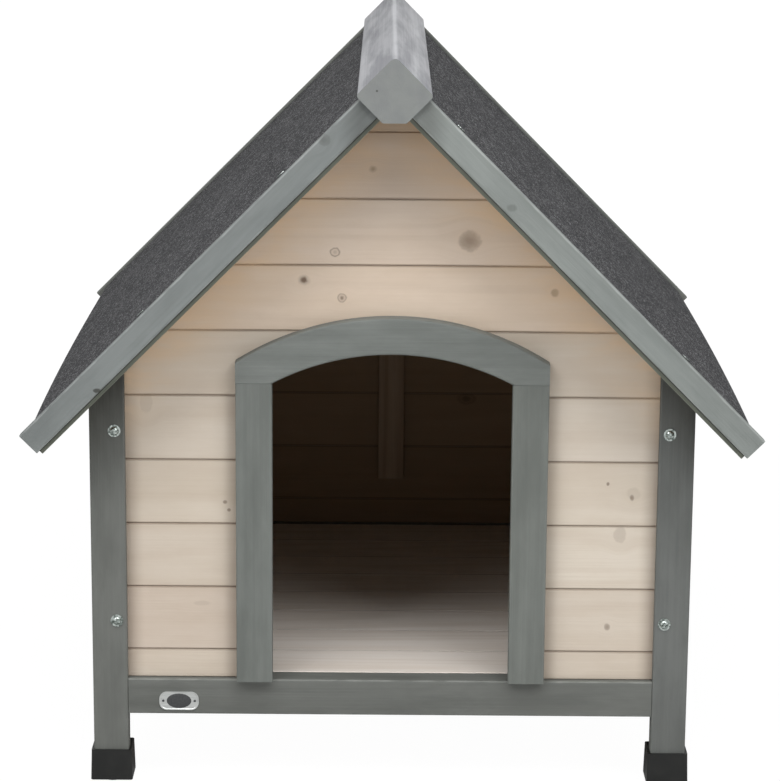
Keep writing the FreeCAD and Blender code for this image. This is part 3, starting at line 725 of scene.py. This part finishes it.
def buildFoot(tree, surface, place):
    look = footLook
    dusty = noise(tree, place, *look["dust"])
    colour = mixColour(tree, remap(tree, dusty, *look["dustShade"]), look["clean"], look["dusty"])
    grainy = noise(tree, place, look["grain"])
    finish(tree, surface, colour, remap(tree, dusty, *look["roughness"]), grainy, look)


zincLook = {
    "light": srgb(192, 200, 196), "dark": srgb(84, 94, 88), "cloud": (420.0, 3.0), "shade": (0.35, 0.7),
    "roughness": (0.3, 0.7, 0.22, 0.4),
}


def buildZinc(tree, surface, place):
    look = zincLook
    cloud = noise(tree, place, *look["cloud"])
    colour = mixColour(tree, remap(tree, cloud, *look["shade"]), look["light"], look["dark"])
    finish(tree, surface, colour, remap(tree, cloud, *look["roughness"]))
    surface.inputs["Metallic"].default_value = 1.0


feltMaterial = plainMaterial("roof_felt", buildFelt)
footMaterial = plainMaterial("foot_plastic", buildFoot)
zincMaterial = plainMaterial("zinc", buildZinc)
dress("foot_caps", footMaterial)
dress("wall_screws", zincMaterial)


def addPiece(name, bm, material, body="house", smooth=False):
    mesh = bpy.data.meshes.new(name)
    bm.normal_update()
    bm.to_mesh(mesh)
    bm.free()
    mesh.materials.append(material)
    if smooth:
        mesh.shade_smooth()
    piece = bpy.data.objects.new(name, mesh)
    bpy.context.scene.collection.objects.link(piece)
    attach(piece, body)
    return piece


# roofing felt: one sheet per slope, a little wavy, its lower edge turned down over the deck
feltSheet = {
    "start": 0.0006, "cornerLength": 0.4855, "bulge": 0.0105, "halfWidth": 0.4192, "thickness": 0.0024,
    "rows": 60, "columns": 96, "top": -0.003, "wave": 0.0007, "waveShare": 0.4, "waveSink": 0.6,
    # each ripple: strength, waves along the roof, waves down the slope, shift
    "ripples": ((1.0, 9, 4, 0.0), (0.6, 23, -7, 1.3), (0.5, 5, 31, 0.0)),
    # how fast the waves die out at the ridge, at the eaves and at the verges
    "fades": (8, 10, 14),
    # the turned-down edge, step by step: outwards, up
    "turnDown": ((0.0010, -0.0004), (0.0010, -0.0011), (0.0004, -0.0020), (0.0, -0.0085)),
    "edgeShare": 0.99, "closeness": 1e-5,
}
# top of the right slope, in metres; the left one is its mirror image
slopeTop = (0.035992, 0.0, 0.759940)
slopePlace = Matrix.Translation(slopeTop) @ Matrix.Rotation(math.pi / 4, 4, "Y")


def makeFelt(side):
    spec = feltSheet
    bm = bmesh.new()
    bmesh.ops.create_grid(bm, x_segments=spec["rows"], y_segments=spec["columns"], size=0.5)
    atRidge, atEaves, atVerge = spec["fades"]
    for vertex in bm.verts:
        down, across = vertex.co.x + 0.5, vertex.co.y * 2
        length = spec["cornerLength"] + spec["bulge"] * (1 - across ** 2)
        x = spec["start"] + down * (length - spec["start"])
        y = across * spec["halfWidth"]
        ripple = sum(strength * math.sin(alongRoof * y + downSlope * x + shift)
                     for strength, alongRoof, downSlope, shift in spec["ripples"])
        fade = (min(1, down * atRidge) * min(1, (1 - down) * atEaves)
                * min(1, (1 - abs(across)) * atVerge))
        z = spec["top"] + spec["wave"] * (ripple * spec["waveShare"] - spec["waveSink"]) * fade
        vertex.co = (x, y, z)
    # the lower edge: boundary edges at the eaves that run along the roof
    edge = [e for e in bm.edges if e.is_boundary
            and all(v.co.x > spec["cornerLength"] * spec["edgeShare"] for v in e.verts)
            and abs(e.verts[0].co.y - e.verts[1].co.y) > spec["closeness"]]
    for outwards, up in spec["turnDown"]:
        grown = bmesh.ops.extrude_edge_only(bm, edges=edge)["geom"]
        fresh = [g for g in grown if isinstance(g, bmesh.types.BMVert)]
        bmesh.ops.translate(bm, verts=fresh, vec=(outwards, 0, up))
        edge = [g for g in grown if isinstance(g, bmesh.types.BMEdge)]
    bmesh.ops.recalc_face_normals(bm, faces=bm.faces)
    if sum(face.normal.z for face in bm.faces) < 0:
        bmesh.ops.reverse_faces(bm, faces=bm.faces)
    bmesh.ops.solidify(bm, geom=bm.faces, thickness=spec["thickness"])
    bmesh.ops.transform(bm, matrix=slopePlace, verts=bm.verts)
    if side == "left":
        bmesh.ops.transform(bm, matrix=Matrix.Scale(-1, 4, (1, 0, 0)), verts=bm.verts)
    bmesh.ops.recalc_face_normals(bm, faces=bm.faces)
    piece = addPiece(f"felt_{side}", bm, feltMaterial, smooth=True)
    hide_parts(f"roof_felt_{side}")


for side in ("left", "right"):
    makeFelt(side)
print("felt laid")

# blank plate on the front rail, with an empty oval field, held by two pins
plateSpec = {
    "centre": (-0.2305, -0.3565, 0.0942), "width": 0.043, "height": 0.021, "thickness": 0.0012,
    "corner": 0.0085, "cornerSteps": 8, "rim": 0.0011, "groove": 0.0006, "grooveDepth": -0.0004,
    "field": (0.0135, 0.0008, 0.0084), "fieldSink": 0.0004, "fieldSteps": (48, 12),
    "pinSpread": 0.0345, "pinRadius": 0.0014, "pinFlatness": 0.55, "pinSink": 0.0002, "pinSteps": (16, 8),
}
plateLook = {
    "light": srgb(206, 208, 206), "dark": srgb(182, 185, 184), "brush": (60.0, 800.0, 1400.0),
    "shade": (0.3, 0.7), "roughness": (0.3, 0.7, 0.32, 0.46), "metal": 0.85,
}
plateFieldLook = {
    "dark": srgb(52, 54, 55), "light": srgb(64, 66, 67), "speck": 700.0, "shade": (0.3, 0.7),
    "roughness": 0.45,
}


def buildPlate(tree, surface, place):
    look = plateLook
    brushed = stretchedNoise(tree, place, look["brush"], 2.0)
    colour = mixColour(tree, remap(tree, brushed, *look["shade"]), look["light"], look["dark"])
    finish(tree, surface, colour, remap(tree, brushed, *look["roughness"]))
    surface.inputs["Metallic"].default_value = look["metal"]


def buildPlateField(tree, surface, place):
    look = plateFieldLook
    speck = noise(tree, place, look["speck"])
    colour = mixColour(tree, remap(tree, speck, *look["shade"]), look["dark"], look["light"])
    finish(tree, surface, colour, look["roughness"])


def makePlate():
    spec = plateSpec
    x, y, z = spec["centre"]
    bm = bmesh.new()
    bmesh.ops.create_cube(bm, size=1)
    bmesh.ops.scale(bm, vec=(spec["width"], spec["thickness"], spec["height"]), verts=bm.verts)
    corners = [e for e in bm.edges if abs(e.verts[0].co.y - e.verts[1].co.y) > spec["thickness"] / 2]
    bmesh.ops.bevel(bm, geom=corners, offset=spec["corner"], offset_type="OFFSET",
                    segments=spec["cornerSteps"], profile=0.5, affect="EDGES", material=-1)
    for width, depth in ((spec["rim"], 0.0), (spec["groove"], spec["grooveDepth"])):
        front = [f for f in bm.faces if f.normal.y < -0.9 and len(f.verts) > 4]
        bmesh.ops.inset_region(bm, faces=front, thickness=width, depth=depth)
    bmesh.ops.translate(bm, vec=(x, y - spec["thickness"] / 2, z), verts=bm.verts)
    addPiece("rail_plate", bm, plateMaterial)
    oval = bmesh.new()
    columns, rows = spec["fieldSteps"]
    bmesh.ops.create_uvsphere(oval, u_segments=columns, v_segments=rows, radius=1)
    bmesh.ops.scale(oval, vec=spec["field"], verts=oval.verts)
    bmesh.ops.translate(oval, vec=(x, y - spec["thickness"] + spec["fieldSink"], z), verts=oval.verts)
    addPiece("rail_plate_field", oval, plateFieldMaterial, smooth=True)
    pins = bmesh.new()
    columns, rows = spec["pinSteps"]
    for turn in (-1, 1):
        head = bmesh.ops.create_uvsphere(pins, u_segments=columns, v_segments=rows,
                                         radius=spec["pinRadius"])["verts"]
        bmesh.ops.scale(pins, vec=(1, spec["pinFlatness"], 1), verts=head)
        spot = (x + turn * spec["pinSpread"] / 2, y - spec["thickness"] + spec["pinSink"], z)
        bmesh.ops.translate(pins, vec=spot, verts=head)
    addPiece("rail_plate_pins", pins, plateFieldMaterial, smooth=True)


plateMaterial = plainMaterial("plate_metal", buildPlate)
plateFieldMaterial = plainMaterial("plate_field", buildPlateField)
makePlate()

# wire staples that hold the felt, beside the front verge boards: slope side, distance down the slope, y
stapleSpec = {
    "spots": (("right", 0.050, -0.362), ("right", 0.392, -0.362), ("left", 0.120, -0.362),
              ("left", 0.330, -0.362)),
    "length": 0.010, "radius": 0.0006, "segments": 10, "skew": 0.25, "depth": -0.0030,
}


def makeStaples():
    spec = stapleSpec
    bm = bmesh.new()
    for side, down, y in spec["spots"]:
        wire = bmesh.ops.create_cone(bm, cap_ends=True, segments=spec["segments"], radius1=spec["radius"],
                                     radius2=spec["radius"], depth=spec["length"])["verts"]
        bmesh.ops.rotate(bm, cent=(0, 0, 0), matrix=Matrix.Rotation(math.pi / 2, 3, "Y"), verts=wire)
        bmesh.ops.rotate(bm, cent=(0, 0, 0), matrix=Matrix.Rotation(spec["skew"], 3, "Z"), verts=wire)
        laid = slopePlace @ Matrix.Translation((down, y, spec["depth"]))
        bmesh.ops.transform(bm, matrix=laid, verts=wire)
        if side == "left":
            bmesh.ops.scale(bm, vec=(-1, 1, 1), verts=wire)
    bmesh.ops.recalc_face_normals(bm, faces=bm.faces)
    addPiece("felt_staples", bm, zincMaterial, smooth=True)


makeStaples()
print("plate and staples set")

# floor, light and background
studio = {
    "floorSize": 24.0, "floorColour": (0.82, 0.82, 0.82, 1), "worldStrength": 0.22, "glow": 1.04,
    # share of plain white in what the camera sees of the floor, near the house and far from it
    "nearWhite": 0.94, "farWhite": 1.0, "nearReach": 0.9, "farReach": 3.2, "aim": (0, -0.36, 0.4),
    # name: place, size, power
    "lamps": {
        "leftBox": ((-2.3, -3.0, 3.4), 2.2, 62.0),
        "rightBox": ((2.3, -3.0, 3.4), 2.2, 68.0),
        "overhead": ((0.0, -1.9, 3.3), 2.0, 54.0),
    },
}


def makeStudio(spec):
    floorMesh = bpy.data.meshes.new("studio_floor")
    bm = bmesh.new()
    bmesh.ops.create_grid(bm, x_segments=1, y_segments=1, size=spec["floorSize"] / 2)
    bm.to_mesh(floorMesh)
    bm.free()
    floorObject = bpy.data.objects.new("studio_floor", floorMesh)
    bpy.context.scene.collection.objects.link(floorObject)
    material = bpy.data.materials.new("studio_floor")
    material.use_nodes = True
    tree = material.node_tree
    tree.nodes.clear()
    matt = addNode(tree, "ShaderNodeBsdfDiffuse", {"Color": spec["floorColour"]})
    glow = addNode(tree, "ShaderNodeEmission", {"Color": (1, 1, 1, 1), "Strength": spec["glow"]})
    path = addNode(tree, "ShaderNodeLightPath").outputs
    away = vectorNode(tree, "LENGTH", addNode(tree, "ShaderNodeTexCoord").outputs["Object"])
    white = remap(tree, away, spec["nearReach"], spec["farReach"], spec["nearWhite"], spec["farWhite"])
    seen = mathNode(tree, "MULTIPLY", path["Is Camera Ray"], white)
    mixed = addNode(tree, "ShaderNodeMixShader", {0: seen, 1: matt.outputs[0], 2: glow.outputs[0]})
    out = addNode(tree, "ShaderNodeOutputMaterial")
    tree.links.new(mixed.outputs[0], out.inputs["Surface"])
    floorMesh.materials.append(material)

    world = bpy.data.worlds.new("studio")
    bpy.context.scene.world = world
    world.use_nodes = True
    tree = world.node_tree
    tree.nodes.clear()
    path = addNode(tree, "ShaderNodeLightPath").outputs
    seen = mathNode(tree, "ADD", path["Is Camera Ray"],
                    mathNode(tree, "ADD", path["Is Glossy Ray"], path["Is Transmission Ray"]), clamp=True)
    strength = mathNode(tree, "MULTIPLY_ADD", seen, 1 - spec["worldStrength"], spec["worldStrength"])
    sky = addNode(tree, "ShaderNodeBackground", {"Color": (1, 1, 1, 1), "Strength": strength})
    out = addNode(tree, "ShaderNodeOutputWorld")
    tree.links.new(sky.outputs[0], out.inputs["Surface"])

    for name, (place, size, power) in spec["lamps"].items():
        lamp = bpy.data.lights.new(name, "AREA")
        lamp.size = size
        lamp.energy = power
        lampObject = bpy.data.objects.new(name, lamp)
        aim = Vector(spec["aim"]) - Vector(place)
        turned = aim.to_track_quat("-Z", "Y").to_matrix().to_4x4()
        lampObject.matrix_world = Matrix.Translation(place) @ turned
        bpy.context.scene.collection.objects.link(lampObject)


makeStudio(studio)
print("studio ready")
